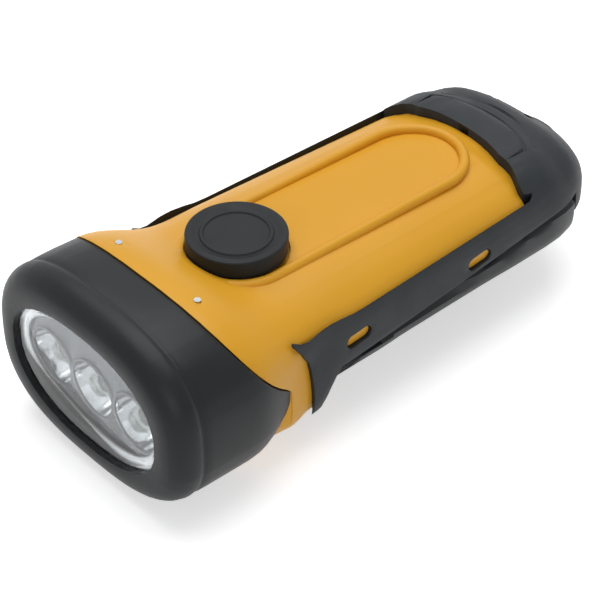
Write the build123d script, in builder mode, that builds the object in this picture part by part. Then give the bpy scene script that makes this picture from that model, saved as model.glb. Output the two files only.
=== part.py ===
from build123d import *
import math
import os

os.makedirs("parts", exist_ok=True)

# Hand crank flashlight. Millimetres, +Z up, the beam leaves along -Y.
# The origin is on the floor under the middle of the torch, which lies on its head and crank.

# ---- driving dimensions ------------------------------------------------------------------
# heights are above the floor, distances are behind the front lip of the head
torch_length = 126.5
axis_height = 20.0

head_half_width = 29.0
head_half_height = 20.0
lip_round_depth = 5.5
lip_round_width = 4.7
head_exponent = 2.7
head_wall = 3.2

grip_half_width = 24.1
grip_rise = 14.4
grip_drop = 9.7
grip_exponent = 3.0
base_exponent = 3.4
tail_taper = 1.8
grip_taper_start = 46.0

waist_width_start = 20.0
waist_width_end = 38.0
waist_top_start = 16.0
waist_top_end = 34.0
waist_base_start = 21.0
waist_base_end = 36.0

seat_gap = 0.05
panel_gap = 0.3
running_gap = 0.05
bumper_proud = 0.9
bumper_recess = 1.6
housing_wall = 1.75
bumper_start = 32.0
housing_end = 110.0
base_start = 36.6
base_end = 114.0
tail_start = 106.0
tail_exponent = 2.3
tail_tip_rise = 5.0
tail_underside = 19.0
parting_height = 16.5

lens_half_width = 22.0
lens_half_height = 13.7
lens_exponent = 2.3
lens_lap = 0.9
lens_thickness = 2.0
lip_thickness = 1.6
seal_width = 1.3

cup_pitch = 13.2
cup_radius = 6.8
cup_depth = 10.0
cup_wall = 0.9
cup_offset = -1.2
lamp_radius = 2.5
lamp_length = 8.0
lamp_rim_radius = 2.9
lamp_rim_thickness = 1.0
reflector_flange = 1.2
reflector_skirt = 1.4
skirt_inset = 1.2
spigot_start = 14.0
head_room_start = 4.6
neck_room_end = 25.0
room_half_width = 20.4
room_top = 31.9
room_corner = 5.0

opening_half_width = 22.9
opening_taper = 0.04
opening_end = 106.5
opening_corner = 7.5

bead_half_width = 11.0
bead_radius = 1.1
bead_sink = 0.6
bead_end = 97.5

button_distance = 39.2
button_radius = 10.2
button_top = 38.4
button_travel = 1.5
button_pocket_height = 32.7
pocket_floor = 1.6
button_wall = 1.5
button_edge = 0.7
dish_depth = 0.4
ring_radius = 6.6
ring_width = 0.7
seal_height = 1.4
plunger_radius = 1.5
stem_gap = 0.3
button_clearance = 0.3
stem_radius = 2.6

window_distances = (49.2, 83.4)
window_heights = (21.6, 22.6)
window_length = 6.6
window_height = 3.1
window_tilt = 6.0
lug_depth = 0.9
lug_clearance = 0.25

crank_distance = 75.0
crank_reach = 38.0
crank_tip_radius = 7.0
crank_hub_radius = 8.5
crank_gap = 0.3
shaft_radius = 3.0
shaft_square = 4.2
socket_floor = 3.8
hub_screw_radius = 1.25
hub_screw_head_radius = 2.9
hub_screw_head_height = 1.5
arm_edge = 1.2
shaft_flange_radius = 5.2
flange_thickness = 0.8
bush_wall = 1.2

knob_pin_offset = 30.0
knob_pin_radius = 1.0
knuckle_radius = 3.4
knuckle_length = 8.8
stalk_radius = 1.6
grip_radius = 4.2
grip_start = 4.6
grip_end = 21.4
grip_slot_clearance = 0.5
stalk_head_radius = 2.6
stalk_head_thickness = 0.8
knuckle_side_gap = 0.3
knob_pin_length = 12.6
grip_edge = 0.8

gear_module = 0.8
drive_teeth = 36
idler_pinion_teeth = 9
idler_wheel_teeth = 20
rotor_pinion_teeth = 8
gear_backlash = 0.16
gear_thickness = 2.2
gear_gap = 0.5
idler_offset = 8.0
axle_radius = 1.0
gear_hub_radius = 2.2
boss_height = 0.8
bush_collar = 0.7
gear_addendum = 0.68
gear_dedendum = 0.92
pressure_angle = math.radians(20)
gear_window_radius = 2.4
gear_window_place = 8.4

plate_height = 19.8
plate_thickness = 1.4
plate_half_width = 18.9
plate_front = 60.5
plate_rear = 96.5
plate_corner = 4.0
plate_screws = ((-16.0, 63.0), (16.0, 63.0), (-16.6, 84.0))
post_radius = 2.4

stator_radius = 10.9
stator_wall = 0.8
stator_height = 6.4
coil_wall = 1.7
magnet_radius = 7.2
magnet_height = 5.0
air_gap = 0.4
bridge_thickness = 1.2
bridge_width = 5.0

cell_radius = 7.6
cell_thickness = 6.0
cell_count = 3
cell_distance = 49.9
cell_floor_gap = 0.4
cradle_height = 5.6
capacitor_radius = 3.1
capacitor_length = 7.0
cradle_wall = 1.1
contact_thickness = 0.4

board_front = 25.5
board_rear = 41.8
board_half_width = 13.0
board_height = 23.0
board_thickness = 1.6
switch_size = 8.0
switch_height = 5.4

case_screws = ((-16.5, 46.0), (16.5, 46.0), (-14.5, 100.8), (14.5, 100.8))
screw_radius = 1.1
screw_head_radius = 2.1
screw_head_height = 1.5
case_screw_length = 12.0
case_counterbore_depth = 2.6
tower_radius = 3.1
plate_screw_length = 6.0
board_screws = ((-8.0, 34.5), (8.0, 34.5))
boss_radius = 2.6
board_boss_radius = 2.2
boss_top = 30.2
board_screw_length = 6.0
screw_clearance = 0.05

lanyard_holes = (-8.2, 2.7)
lanyard_distance = 119.2
lanyard_radius = 1.3
pip_offset = 11.9
pip_distance = 19.5
pip_radius = 0.7
pip_length = 3.0
pip_proud = 0.25

groove_distances = (110.4, 113.4)
groove_radius = 0.5
groove_half_length = 14.0
groove_bow = 4.6

# ---- values that follow from them --------------------------------------------------------
base_underside = axis_height - grip_drop - bumper_proud
base_floor = axis_height - grip_drop + bumper_recess
arm_top = base_underside - crank_gap
lens_front = lip_thickness + seat_gap
lens_back = lens_front + lens_thickness
lens_outer_width = lens_half_width + lens_lap
lens_outer_height = lens_half_height + lens_lap
seal_outer_width = lens_outer_width + seat_gap + seal_width
seal_outer_height = lens_outer_height + seat_gap + seal_width
flange_front = lens_back + seat_gap
cup_back = flange_front + cup_depth
button_skirt_bottom = button_pocket_height + button_travel + 0.2
stem_bottom = board_height + board_thickness + switch_height + button_travel + 0.2


# ---- shared shapes -----------------------------------------------------------------------
def along(distance):
    """The Y of a distance behind the front lip."""
    return distance - torch_length / 2


def cross_plane(distance):
    """A plane across the torch, with local y up."""
    return Plane.XZ.offset(-along(distance))


def ease(distance, start, end):
    """Rises smoothly from 0 at start to 1 at end."""
    share = min(max((distance - start) / (end - start), 0.0), 1.0)
    return share * share * (3 - 2 * share)


def blend(first, second, share):
    return first + (second - first) * share


def oval_points(half_width, rise, drop, upper_exponent, lower_exponent, count=32):
    """A closed oval whose upper and lower halves may differ."""
    points = []
    for index in range(count):
        angle = 2 * math.pi * index / count
        across, upward = math.cos(angle), math.sin(angle)
        exponent = upper_exponent if upward >= 0 else lower_exponent
        height = rise if upward >= 0 else drop
        x = half_width * math.copysign(abs(across) ** (2 / exponent), across)
        z = height * math.copysign(abs(upward) ** (2 / exponent), upward)
        points.append((x, z))
    return points


def lip_rounding(distance):
    """How far the rounded front of the head stands in from its full size."""
    if distance >= lip_round_depth:
        return 0.0
    share = (lip_round_depth - distance) / lip_round_depth
    return lip_round_width * (1 - math.sqrt(1 - share * share))


def body_oval(distance, inset):
    """The outline of the torch across one distance, taken in by inset."""
    half_width, rise, drop, upper, lower = body_sizes(distance)
    inset = inset + lip_rounding(distance)
    return oval_points(half_width - inset, rise - inset, drop - inset, upper, lower)


def body_form(distances, inset, mode=Mode.ADD):
    """Joins cross-sections of the torch's own shape, inside the part being built."""
    sections = []
    for distance in distances:
        with BuildSketch(cross_plane(distance)) as section:
            with BuildLine():
                Polyline(*[(x, z + axis_height) for x, z in body_oval(distance, inset)], close=True)
            make_face()
        sections.append(section.sketch.face())
    loft(sections, ruled=True, mode=mode)


def lens_oval(extra):
    """The lens outline, grown by extra."""
    points = oval_points(
        lens_half_width + extra, lens_half_height + extra, lens_half_height + extra,
        lens_exponent, lens_exponent,
    )
    Spline(*[(x, z + axis_height) for x, z in points], periodic=True)


def lens_slab(start, depth, extra, mode=Mode.ADD):
    """A slab with the lens outline, from start backwards."""
    with BuildSketch(cross_plane(start)) as outline:
        with BuildLine():
            lens_oval(extra)
        make_face()
    extrude(outline.sketch, amount=-depth, mode=mode)


def floor_plane(height):
    return Plane.XY.offset(height)


def side_plane(x=0.0):
    """A plane seen from +X, with local x along +Y and local y up."""
    return Plane.YZ.offset(x)


head_stations = (0, 0.25, 0.9, 1.9, 3.4, lip_round_depth, 12, waist_width_start, 22, 24, 26, 28, 30, 31)
neck_stations = (spigot_start, 16, 18, 20, 22, 24, 26, 28, 30, 32, 34, 36, 38, grip_taper_start,
                 housing_end)
bumper_stations = (30, 32, 34, 36, 38, grip_taper_start, tail_start, 108, 110, 112, 114, 116, 118, 120,
                   121.5, 123, 124.2, 125.2, 126.0, torch_length)
base_stations = (base_start, 38, grip_taper_start, tail_start, 110, base_end)


def opening_outline(grow):
    """The opening in the bumper that shows the yellow deck, seen from above."""
    front = along(bumper_start - 12)
    rear = along(opening_end) + grow
    wide = opening_half_width + opening_taper * (60 - bumper_start + 12) + grow
    narrow = opening_half_width - opening_taper * (opening_end - opening_corner - 60) + grow
    shoulder = along(opening_end - opening_corner)
    turn_x, turn_y = narrow * 0.56, rear - 1.5
    corner_x, corner_y = narrow * 0.88, shoulder + opening_corner * 0.56
    Polyline((0, front), (wide, front), (narrow, shoulder))
    ThreePointArc((narrow, shoulder), (corner_x, corner_y), (turn_x, turn_y))
    ThreePointArc((turn_x, turn_y), (0, rear), (-turn_x, turn_y))
    ThreePointArc((-turn_x, turn_y), (-corner_x, corner_y), (-narrow, shoulder))
    Polyline((-narrow, shoulder), (-wide, front), (0, front))


def tab_outline(grow):
    """The head's rear edge seen from the side: swept back to a square tab on each side."""
    front = along(-5)
    above = (along(14.5) + grow, axis_height + head_half_height + 2)
    tab_top = (along(30.2) + grow, axis_height - 0.6 + grow)
    tab_bottom = (along(30.2) + grow, axis_height - 7.8 - grow)
    below = (along(17) + grow, axis_height - head_half_height - 2)
    Line((front, above[1]), above)
    ThreePointArc(above, (along(20.6) + grow, axis_height + 9.5 + grow / 2), tab_top)
    Polyline(tab_top, tab_bottom, below, (front, below[1]), (front, above[1]))


def bumper_front(grow):
    """What lies in front of the bumper's front edge, seen from the side."""
    edge = [(32.0, 8.4), (36.7, -0.7), (35.8, -10.0)]
    points = [(along(d) + grow, axis_height + z) for d, z in edge]
    front = along(10)
    Polyline((front, 45), (points[0][0], 45), points[0])
    ThreePointArc(*points)
    Polyline(points[-1], (points[-1][0], -5), (front, -5), (front, 45))


def below_seam(gap):
    """What lies below the seam between bumper and base cover, lowered by gap."""
    rear = along(base_end + 0.3)
    seam = [(38.0, -12.0), (39.7, -6.2), (45.0, -3.4), (75.0, -0.75), (104.0, 2.2)]
    points = [(along(d), axis_height + z - gap) for d, z in seam]
    ThreePointArc(*points[:3])
    ThreePointArc(*points[2:])
    Polyline(points[-1], (rear, axis_height + 3.2 - gap), (rear, -5), (points[0][0], -5), points[0])


def pill(half_width, rear, height):
    """The raised panel's outline: round the button in front and round at the tail."""
    front = along(button_distance)
    back = along(rear) - half_width
    Line((half_width, front, height), (half_width, back, height))
    CenterArc((0, back, height), half_width, 0, 180)
    Line((-half_width, back, height), (-half_width, front, height))
    CenterArc((0, front, height), half_width, 180, 180)


def body_sizes(distance):
    """Half width, rise, drop and the two exponents of the torch's own shape."""
    width_share = ease(distance, waist_width_start, waist_width_end)
    top_share = ease(distance, waist_top_start, waist_top_end)
    base_share = ease(distance, waist_base_start, waist_base_end)
    taper = tail_taper * max(0.0, distance - grip_taper_start) / (housing_end - grip_taper_start)
    half_width = blend(head_half_width, grip_half_width, width_share) - taper
    rise = blend(head_half_height, grip_rise, top_share)
    drop = blend(head_half_height, grip_drop, base_share)
    if distance > tail_start:
        share = min((distance - tail_start) / (torch_length - tail_start), 0.99)
        half_width = half_width * (1 - share ** tail_exponent) ** (1 / tail_exponent)
        rise = blend(rise, tail_tip_rise - bumper_proud, share ** 1.3)
    upper = blend(head_exponent, grip_exponent, top_share)
    lower = blend(head_exponent, base_exponent, base_share)
    return half_width, rise, drop, upper, lower


def top_height(x, distance, inset):
    """The height of the torch's own shape above a point of the floor."""
    half_width, rise, drop, upper, lower = body_sizes(distance)
    reach = 1 - (abs(x) / (half_width - inset)) ** upper
    return axis_height + (rise - inset) * reach ** (1 / upper)


def cup_profile(grow):
    """Half of a cup, narrowing backwards from its mouth. Local x is the radius."""
    mouth = (cup_radius + grow, 0)
    back = (lamp_radius + seat_gap + grow, -cup_depth)
    Spline(mouth, (blend(back[0], mouth[0], 0.72), -cup_depth * 0.45), back)
    Polyline(back, (0, -cup_depth), (0, 0), mouth)


def head_oval(inset):
    """An oval of the head's exponent, with straight walls behind it."""
    points = oval_points(head_half_width - inset, head_half_height - inset, head_half_height - inset,
                         head_exponent, head_exponent)
    Polyline(*[(x, z + axis_height) for x, z in points], close=True)


def grip_room(side_gap):
    """The room inside the grip, seen along the beam."""
    half_width = room_half_width - side_gap
    shoulder = room_top - room_corner
    Polyline((-half_width, shoulder), (-half_width, base_floor), (half_width, base_floor),
             (half_width, shoulder))
    Line((half_width, shoulder), (half_width - room_corner * 1.25, room_top))
    Line((half_width - room_corner * 1.25, room_top), (-half_width + room_corner * 1.25, room_top))
    Line((-half_width + room_corner * 1.25, room_top), (-half_width, shoulder))


cup_places = [(-cup_pitch, axis_height + cup_offset), (0, axis_height + cup_offset),
              (cup_pitch, axis_height + cup_offset)]
idler_spacing = gear_module * (drive_teeth + idler_pinion_teeth) / 2
idler_distance = crank_distance + math.sqrt(idler_spacing ** 2 - idler_offset ** 2)
rotor_offset = idler_offset - gear_module * (idler_wheel_teeth + rotor_pinion_teeth) / 2
rotor_distance = idler_distance
bead_centre = axis_height + grip_rise - bead_sink
pip_foot = top_height(pip_offset, pip_distance, 0) + pip_proud - pip_length


# ---- head --------------------------------------------------------------------------------
with BuildPart() as head_shell:
    body_form(head_stations, 0)
    with BuildSketch(side_plane()):
        with BuildLine():
            tab_outline(0)
        make_face()
    extrude(amount=head_half_width + 5, both=True, mode=Mode.INTERSECT)
    with BuildSketch(cross_plane(head_room_start)):
        with BuildLine():
            head_oval(head_wall)
        make_face()
    extrude(amount=-head_half_width - 5, mode=Mode.SUBTRACT)
    lens_slab(lip_thickness, head_room_start, lens_lap + seal_width + 2 * seat_gap, mode=Mode.SUBTRACT)
    lens_slab(-1, lip_thickness + 2, 0, mode=Mode.SUBTRACT)
head_shell.part.label = "head_shell"
export_step(head_shell.part, "parts/head_shell.step")

with BuildPart() as lens_window:
    lens_slab(lens_front, lens_thickness, lens_lap)
lens_window.part.label = "lens_window"
export_step(lens_window.part, "parts/lens_window.step")

with BuildPart() as lens_seal:
    lens_slab(lens_front, lens_thickness, lens_lap + seat_gap + seal_width)
    lens_slab(lens_front - 1, lens_thickness + 2, lens_lap + seat_gap, mode=Mode.SUBTRACT)
lens_seal.part.label = "lens_seal"
export_step(lens_seal.part, "parts/lens_seal.step")

with BuildPart() as reflector:
    lens_slab(flange_front, reflector_flange, lens_lap + seal_width)
    lens_slab(flange_front, cup_depth + reflector_skirt, -skirt_inset)
    lens_slab(flange_front + reflector_flange, cup_depth + 2, -skirt_inset - reflector_skirt,
              mode=Mode.SUBTRACT)
    for x, z in cup_places:
        with BuildSketch(Plane((x, along(flange_front), z), x_dir=(1, 0, 0), z_dir=(0, 0, -1))):
            with BuildLine():
                cup_profile(cup_wall)
            make_face()
        revolve(axis=Axis((x, 0, z), (0, 1, 0)))
    for x, z in cup_places:
        with BuildSketch(Plane((x, along(flange_front), z), x_dir=(1, 0, 0), z_dir=(0, 0, -1))):
            with BuildLine():
                cup_profile(0)
            make_face()
        revolve(axis=Axis((x, 0, z), (0, 1, 0)), mode=Mode.SUBTRACT)
reflector.part.label = "reflector"
export_step(reflector.part, "parts/reflector.step")

for name, (x, z) in zip(("left_lamp", "middle_lamp", "right_lamp"), cup_places):
    with BuildPart() as lamp:
        with BuildSketch(Plane((x, along(cup_back), z), x_dir=(1, 0, 0), z_dir=(0, -1, 0))):
            Circle(lamp_radius)
        extrude(amount=lamp_length - lamp_radius)
        with Locations((x, along(cup_back) - lamp_length + lamp_radius, z)):
            Sphere(lamp_radius)
        with BuildSketch(Plane((x, along(cup_back), z), x_dir=(1, 0, 0), z_dir=(0, 1, 0))):
            Circle(lamp_rim_radius)
        extrude(amount=lamp_rim_thickness)
    lamp.part.label = name
    export_step(lamp.part, f"parts/{name}.step")

with BuildPart() as lamp_board:
    lens_slab(cup_back + lamp_rim_thickness + seat_gap, board_thickness,
              -skirt_inset - reflector_skirt - 0.2)
lamp_board.part.label = "lamp_board"
export_step(lamp_board.part, "parts/lamp_board.step")

# ---- yellow housing ----------------------------------------------------------------------
case_screw_points = [(x, along(distance)) for x, distance in case_screws]
plate_screw_points = [(x, along(distance)) for x, distance in plate_screws]
board_screw_points = [(x, along(distance)) for x, distance in board_screws]
button_point = (0, along(button_distance))

with BuildPart() as head_socket:
    with BuildSketch(side_plane()):
        with BuildLine():
            tab_outline(panel_gap)
        make_face()
    extrude(amount=head_half_width + 5, both=True)
    with BuildSketch(cross_plane(-20)):
        with BuildLine():
            head_oval(head_wall + seat_gap)
        make_face()
    extrude(amount=-80, mode=Mode.SUBTRACT)

with BuildPart() as bumper_bed:
    with Locations((0, along(housing_end), axis_height)):
        Box(3 * head_half_width, 2 * (housing_end - bumper_start) + 4, 3 * head_half_height)
    with BuildSketch(side_plane()):
        with BuildLine():
            bumper_front(-seat_gap)
        make_face()
    extrude(amount=2 * head_half_width, both=True, mode=Mode.SUBTRACT)
    with BuildSketch(floor_plane(-20)):
        with BuildLine():
            opening_outline(-seat_gap)
        make_face()
    extrude(amount=80, mode=Mode.SUBTRACT)

with BuildPart() as main_housing:
    body_form(neck_stations, 0)
    add(head_socket.part, mode=Mode.SUBTRACT)
    add(bumper_bed.part, mode=Mode.SUBTRACT)
    with BuildSketch(side_plane()):
        with BuildLine():
            below_seam(-seat_gap)
        make_face()
        with Locations((along(housing_end), parting_height + seat_gap + 30)):
            Rectangle(400, 60, mode=Mode.SUBTRACT)
    extrude(amount=2 * head_half_width, both=True, mode=Mode.SUBTRACT)
    with BuildSketch(cross_plane(spigot_start - 5)):
        with BuildLine():
            head_oval(head_wall + housing_wall)
        make_face()
    extrude(amount=-(neck_room_end - spigot_start + 5), mode=Mode.SUBTRACT)
    with BuildSketch(cross_plane(neck_room_end - 3)):
        with BuildLine():
            grip_room(0)
        make_face()
    extrude(amount=-(opening_end - housing_wall - neck_room_end + 3), mode=Mode.SUBTRACT)
    with BuildSketch(floor_plane(button_pocket_height - pocket_floor)):
        with Locations(button_point):
            Circle(button_radius + button_clearance + housing_wall)
    extrude(amount=pocket_floor)
    with BuildLine() as bead_path:
        pill(bead_half_width, bead_end, bead_centre)
    with BuildSketch(Plane((bead_half_width, button_point[1], bead_centre), z_dir=(0, 1, 0))):
        Circle(bead_radius)
    sweep(path=bead_path.wires()[0])
    with BuildSketch(floor_plane(button_pocket_height)):
        with Locations(button_point):
            Circle(button_radius + button_clearance)
    extrude(amount=10, mode=Mode.SUBTRACT)
    with BuildSketch(floor_plane(button_pocket_height - 5)):
        with Locations(button_point):
            Circle(stem_radius + button_clearance)
    extrude(amount=6, mode=Mode.SUBTRACT)
    with BuildSketch(floor_plane(parting_height + seat_gap)):
        with Locations(*case_screw_points):
            Circle(boss_radius)
    extrude(amount=boss_top - parting_height)
    with BuildSketch(floor_plane(board_height + board_thickness + seat_gap)):
        with Locations(*board_screw_points):
            Circle(board_boss_radius)
    extrude(amount=button_pocket_height - pocket_floor - board_height - board_thickness)
    with BuildSketch(floor_plane(parting_height - 1)):
        with Locations(*case_screw_points):
            Circle(screw_radius + screw_clearance)
    extrude(amount=10, mode=Mode.SUBTRACT)
    with BuildSketch(floor_plane(board_height)):
        with Locations(*board_screw_points):
            Circle(screw_radius + screw_clearance)
    extrude(amount=board_screw_length + 0.5, mode=Mode.SUBTRACT)
    with BuildSketch(floor_plane(pip_foot - seat_gap)):
        with Locations((-pip_offset, along(pip_distance)), (pip_offset, along(pip_distance))):
            Circle(pip_radius + seat_gap)
    extrude(amount=6, mode=Mode.SUBTRACT)
    for distance, height in zip(window_distances, window_heights):
        lug_face = body_sizes(distance)[0] + bumper_proud - lug_depth
        for side in (-1, 1):
            with BuildSketch(side_plane(side * lug_face)):
                with Locations((along(distance), height)):
                    SlotOverall(window_length - 2 * lug_clearance, window_height - 2 * lug_clearance,
                                rotation=window_tilt)
            extrude(amount=-side * (lug_depth + housing_wall))
main_housing.part.label = "main_housing"
export_step(main_housing.part, "parts/main_housing.step")

with BuildPart() as neck_pins:
    with BuildSketch(floor_plane(pip_foot)):
        with Locations((-pip_offset, along(pip_distance)), (pip_offset, along(pip_distance))):
            Circle(pip_radius)
    extrude(amount=pip_length)
neck_pins.part.label = "neck_pins"
export_step(neck_pins.part, "parts/neck_pins.step")

# ---- rubber bumper -----------------------------------------------------------------------
with BuildPart() as side_bumper:
    body_form(bumper_stations, -bumper_proud)
    with BuildSketch(side_plane()):
        with BuildLine():
            bumper_front(0)
        make_face()
    extrude(amount=2 * head_half_width, both=True, mode=Mode.SUBTRACT)
    with BuildSketch(side_plane()):
        with BuildLine():
            below_seam(0)
        make_face()
    extrude(amount=2 * head_half_width, both=True, mode=Mode.SUBTRACT)
    with BuildSketch(floor_plane(-20)):
        with BuildLine():
            opening_outline(0)
        make_face()
    extrude(amount=80, mode=Mode.SUBTRACT)
    with BuildSketch(floor_plane(-20)):
        with Locations((0, along(base_end + 20))):
            Rectangle(4 * head_half_width, 42)
    extrude(amount=tail_underside + 20, mode=Mode.SUBTRACT)
    with BuildSketch(side_plane(-2 * head_half_width)):
        for distance, height in zip(window_distances, window_heights):
            with Locations((along(distance), height)):
                SlotOverall(window_length, window_height, rotation=window_tilt)
    extrude(amount=4 * head_half_width, mode=Mode.SUBTRACT)
    for distance in groove_distances:
        height = top_height(0, distance, -bumper_proud)
        side_height = top_height(groove_half_length, distance - groove_bow, -bumper_proud)
        with BuildLine() as groove_path:
            Spline((-groove_half_length, along(distance - groove_bow), side_height),
                   (0, along(distance), height),
                   (groove_half_length, along(distance - groove_bow), side_height),
                   tangents=[(1, 0.75, 0.25), (1, -0.75, -0.25)])
        with BuildSketch(Plane(groove_path.line @ 0, z_dir=groove_path.line % 0)):
            Circle(groove_radius)
        sweep(path=groove_path.line, mode=Mode.SUBTRACT)
    with BuildSketch(floor_plane(tail_underside - 1)):
        with Locations(*[(x, along(lanyard_distance)) for x in lanyard_holes]):
            Circle(lanyard_radius)
    extrude(amount=head_half_height, mode=Mode.SUBTRACT)
side_bumper.part.label = "side_bumper"
export_step(side_bumper.part, "parts/side_bumper.step")

# ---- base cover --------------------------------------------------------------------------
crank_point = (0, along(crank_distance))
idler_point = (idler_offset, along(idler_distance))
rotor_point = (rotor_offset, along(rotor_distance))
bush_radius = shaft_radius + running_gap + bush_wall

with BuildPart() as base_cover:
    body_form(base_stations, -bumper_proud)
    with BuildSketch(side_plane()):
        with BuildLine():
            below_seam(panel_gap)
        make_face()
    extrude(amount=2 * head_half_width, both=True, mode=Mode.INTERSECT)
    with BuildSketch(floor_plane(parting_height)):
        with BuildLine():
            opening_outline(seat_gap)
        make_face()
    extrude(amount=40, mode=Mode.SUBTRACT)
    with BuildSketch(cross_plane(base_start + 4)):
        with Locations((0, base_floor + 15)):
            Rectangle(2 * room_half_width, 30)
    extrude(amount=-(opening_end - housing_wall - base_start - 4), mode=Mode.SUBTRACT)
    with BuildSketch(floor_plane(base_floor - 1)):
        with Locations(*case_screw_points):
            Circle(tower_radius)
    extrude(amount=parting_height - base_floor + 1)
    with BuildSketch(floor_plane(base_floor - 1)):
        with Locations(*plate_screw_points):
            Circle(post_radius)
    extrude(amount=plate_height - seat_gap - base_floor + 1)
    with BuildSketch(floor_plane(base_floor - 1)):
        with Locations(idler_point, rotor_point):
            Circle(gear_hub_radius)
    extrude(amount=boss_height + 1)
    with BuildSketch(floor_plane(base_floor - 1.2)):
        with Locations(idler_point, rotor_point):
            Circle(axle_radius + running_gap)
    extrude(amount=5, mode=Mode.SUBTRACT)
    with BuildSketch(floor_plane(base_underside - 5)):
        with Locations(crank_point):
            Circle(bush_radius + seat_gap)
    extrude(amount=10, mode=Mode.SUBTRACT)
    with BuildSketch(floor_plane(0)):
        with Locations(*case_screw_points):
            Circle(screw_head_radius + 0.2)
    extrude(amount=base_underside + case_counterbore_depth, mode=Mode.SUBTRACT)
    with BuildSketch(floor_plane(0)):
        with Locations(*case_screw_points):
            Circle(screw_radius + screw_clearance)
    extrude(amount=plate_height, mode=Mode.SUBTRACT)
    with BuildSketch(floor_plane(plate_height - plate_screw_length)):
        with Locations(*plate_screw_points):
            Circle(screw_radius + screw_clearance)
    extrude(amount=plate_screw_length + 1, mode=Mode.SUBTRACT)
base_cover.part.label = "base_cover"
export_step(base_cover.part, "parts/base_cover.step")


def pan_screw(points, seat, length, direction):
    """Pan-head screws: the head stands off the seat, the shank runs the other way."""
    with BuildSketch(floor_plane(seat)) as heads:
        with Locations(*points):
            Circle(screw_head_radius)
    extrude(heads.sketch, amount=-direction * screw_head_height)
    with BuildSketch(floor_plane(seat)) as shanks:
        with Locations(*points):
            Circle(screw_radius)
    extrude(shanks.sketch, amount=direction * length)


with BuildPart() as case_screw_set:
    pan_screw(case_screw_points, base_underside + case_counterbore_depth - seat_gap, case_screw_length, 1)
case_screw_set.part.label = "case_screws"
export_step(case_screw_set.part, "parts/case_screws.step")

# ---- button, switch and control board ----------------------------------------------------
with BuildPart() as power_button:
    with BuildSketch(floor_plane(button_skirt_bottom)):
        with Locations(button_point):
            Circle(button_radius)
    extrude(amount=button_top - button_skirt_bottom)
    fillet(power_button.faces().sort_by(Axis.Z)[-1].edges(), button_edge)
    with BuildSketch(floor_plane(button_skirt_bottom)):
        with Locations(button_point):
            Circle(button_radius - button_wall)
    extrude(amount=button_top - button_skirt_bottom - button_wall - dish_depth, mode=Mode.SUBTRACT)
    with BuildSketch(floor_plane(stem_bottom)):
        with Locations(button_point):
            Circle(stem_radius)
    extrude(amount=button_top - stem_bottom - button_wall)
    with BuildSketch(floor_plane(button_top - dish_depth)):
        with Locations(button_point):
            Circle(ring_radius + ring_width / 2)
            Circle(ring_radius - ring_width / 2, mode=Mode.SUBTRACT)
    extrude(amount=5, mode=Mode.SUBTRACT)
power_button.part.label = "power_button"
export_step(power_button.part, "parts/power_button.step")

with BuildPart() as button_seal:
    with BuildSketch(floor_plane(button_pocket_height + seat_gap)):
        with Locations(button_point):
            Circle(stem_radius + button_clearance + 2)
            Circle(stem_radius + button_clearance, mode=Mode.SUBTRACT)
    extrude(amount=seal_height)
button_seal.part.label = "button_seal"
export_step(button_seal.part, "parts/button_seal.step")

board_top = board_height + board_thickness
with BuildPart() as switch_body:
    with Locations((button_point[0], button_point[1], board_top + seat_gap)):
        Box(switch_size, switch_size, switch_height, align=(Align.CENTER, Align.CENTER, Align.MIN))
    fillet(switch_body.edges().filter_by(Axis.Z), 0.6)
    with BuildSketch(floor_plane(board_top + 1)):
        with Locations(button_point):
            Circle(plunger_radius + running_gap)
    extrude(amount=switch_height, mode=Mode.SUBTRACT)
switch_body.part.label = "switch_body"
export_step(switch_body.part, "parts/switch_body.step")

with BuildPart() as switch_plunger:
    with BuildSketch(floor_plane(board_top + 1 + button_travel + 0.4)):
        with Locations(button_point):
            Circle(plunger_radius)
    extrude(amount=stem_bottom - board_top - 1 - button_travel - 0.4)
switch_plunger.part.label = "switch_plunger"
export_step(switch_plunger.part, "parts/switch_plunger.step")

with BuildPart() as control_board:
    with BuildSketch(floor_plane(board_height)):
        with Locations((0, along((board_front + board_rear) / 2))):
            RectangleRounded(2 * board_half_width, board_rear - board_front, 1.5)
        with Locations(*board_screw_points):
            Circle(screw_radius + screw_clearance, mode=Mode.SUBTRACT)
    extrude(amount=board_thickness)
control_board.part.label = "control_board"
export_step(control_board.part, "parts/control_board.step")

with BuildPart() as board_screw_set:
    pan_screw(board_screw_points, board_height - seat_gap, board_screw_length, 1)
board_screw_set.part.label = "board_screws"
export_step(board_screw_set.part, "parts/board_screws.step")

with BuildPart() as smoothing_capacitor:
    with BuildSketch(floor_plane(board_height - seat_gap)):
        with Locations((0, along(board_front + 4.4))):
            Circle(capacitor_radius)
    extrude(amount=-capacitor_length)
    fillet(smoothing_capacitor.edges().filter_by(GeomType.CIRCLE), 0.5)
smoothing_capacitor.part.label = "smoothing_capacitor"
export_step(smoothing_capacitor.part, "parts/smoothing_capacitor.step")

# ---- cells -------------------------------------------------------------------------------
cell_height = base_floor + cell_floor_gap + cell_radius
stack_half_length = cell_count * cell_thickness / 2
cell_y = along(cell_distance)

with BuildPart() as battery_cells:
    for index in range(cell_count):
        near = -stack_half_length + index * cell_thickness
        with BuildSketch(Plane.YZ.offset(near)):
            with Locations((cell_y, cell_height)):
                Circle(cell_radius)
        extrude(amount=cell_thickness - seat_gap)
battery_cells.part.label = "battery_cells"
export_step(battery_cells.part, "parts/battery_cells.step")

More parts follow.
